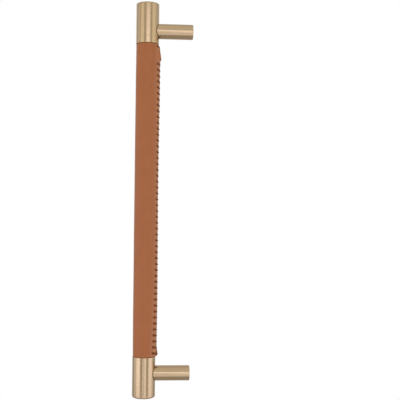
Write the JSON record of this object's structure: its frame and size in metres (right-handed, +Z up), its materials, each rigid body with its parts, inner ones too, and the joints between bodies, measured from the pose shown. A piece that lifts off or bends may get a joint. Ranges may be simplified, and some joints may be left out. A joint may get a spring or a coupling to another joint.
{
  "type": "leather wrapped bar pull",
  "caption": "Round brass bar pull on two posts, its middle wrapped in tan leather with a hand-stitched seam at the back.",
  "frame": {"origin": "on the door's face, midway between the axes of the two posts", "axes": "+Z up along the bar, +Y into the door, -Y towards the hand, +X to the side that the picture was taken from"},
  "size_m": [0.0108, 0.0267, 0.184],
  "materials": {
    "brass": "satin champagne brass, with fine turned marks round the bar and posts",
    "leather": "smooth tan leather, matte to soft sheen",
    "thread": "waxed dark brown thread",
    "stud_steel": "plain zinc-plated steel"
  },
  "bodies": {
    "root": {"bar": "brass", "leather_wrap": "leather", "seam_thread": "thread", "upper_post": "brass", "upper_stud": "stud_steel", "lower_post": "brass", "lower_stud": "stud_steel"}
  },
  "joints": []
}
